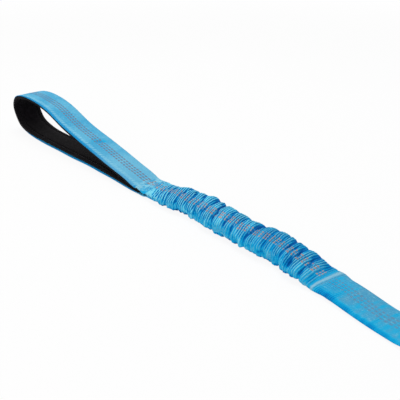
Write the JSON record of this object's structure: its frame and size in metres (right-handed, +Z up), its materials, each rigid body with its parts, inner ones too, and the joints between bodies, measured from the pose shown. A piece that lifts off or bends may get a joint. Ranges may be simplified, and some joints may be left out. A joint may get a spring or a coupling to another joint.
{
  "type": "bungee tug toy",
  "caption": "Padded webbing hand loop sewn to a gathered bungee section that stretches, then a strap that folds and ends in a padded cylindrical bite sleeve.",
  "frame": {"origin": "on the ground under the middle of the webbing, at the seam where the hand loop's two strands meet", "axes": "+X from the hand loop to the bite sleeve, +Y across the webbing, +Z up from the ground the toy lies on"},
  "size_m": [0.689, 0.0721, 0.0387],
  "materials": {
    "woven_webbing": "sky blue woven polyester webbing with brown tracer yarns",
    "neoprene_pad": "matt black neoprene foam",
    "polyester_thread": "blue polyester sewing thread",
    "dark_thread": "black polyester sewing thread",
    "elastic_braid": "black braided cover",
    "natural_rubber": "pale rubber strands",
    "nylon_canvas": "matt black woven nylon canvas",
    "fibre_filling": "off-white packed fibre"
  },
  "bodies": {
    "handle": {"handle_webbing": "woven_webbing", "handle_pad": "neoprene_pad", "pad_seam_left": "dark_thread", "pad_seam_right": "dark_thread", "elastic_tail_near": "elastic_braid", "neck_bar_tack_1": "polyester_thread", "neck_bar_tack_2": "polyester_thread", "neck_bar_tack_3": "polyester_thread"},
    "bungee": {"gathered_sleeve": "woven_webbing", "cord_cover_left": "elastic_braid", "cord_cover_right": "elastic_braid", "cord_rubber_left": "natural_rubber", "cord_rubber_right": "natural_rubber"},
    "bungee_end": {"sleeve_end_band": "woven_webbing", "elastic_tail_far": "elastic_braid"},
    "strap": {"strap_webbing": "woven_webbing"},
    "bite_sleeve": {"strap_tail": "woven_webbing", "bite_jacket": "nylon_canvas", "bite_filling": "fibre_filling", "mouth_seam_top": "dark_thread", "mouth_seam_underside": "dark_thread", "end_binding": "woven_webbing", "end_seam_top": "dark_thread", "end_seam_underside": "dark_thread"}
  },
  "joints": [
    {"name": "handle_fold", "type": "hinge", "parent": "handle", "child": "bungee", "pos_m": [0.0133, 0, 0.003], "axis": [0, 1, 0], "range_deg": [-60, 60]},
    {"name": "bungee_stretch", "type": "slide", "parent": "bungee", "child": "bungee_end", "axis": [1, 0, 0], "range_m": [0, 0.1], "stiffness_N_per_m": 700, "deforming": ["gathered_sleeve", "cord_cover_left", "cord_cover_right", "cord_rubber_left", "cord_rubber_right"]},
    {"name": "strap_fold", "type": "hinge", "parent": "bungee_end", "child": "strap", "pos_m": [0.17247, -0.00052, 0.0012], "axis": [0.1132, 0.9936, 0], "range_deg": [-75, 75]},
    {"name": "bite_fold", "type": "hinge", "parent": "strap", "child": "bite_sleeve", "pos_m": [0.26984, -0.01162, 0.0185], "axis": [0.1132, 0.9936, 0], "range_deg": [-75, 75]}
  ]
}
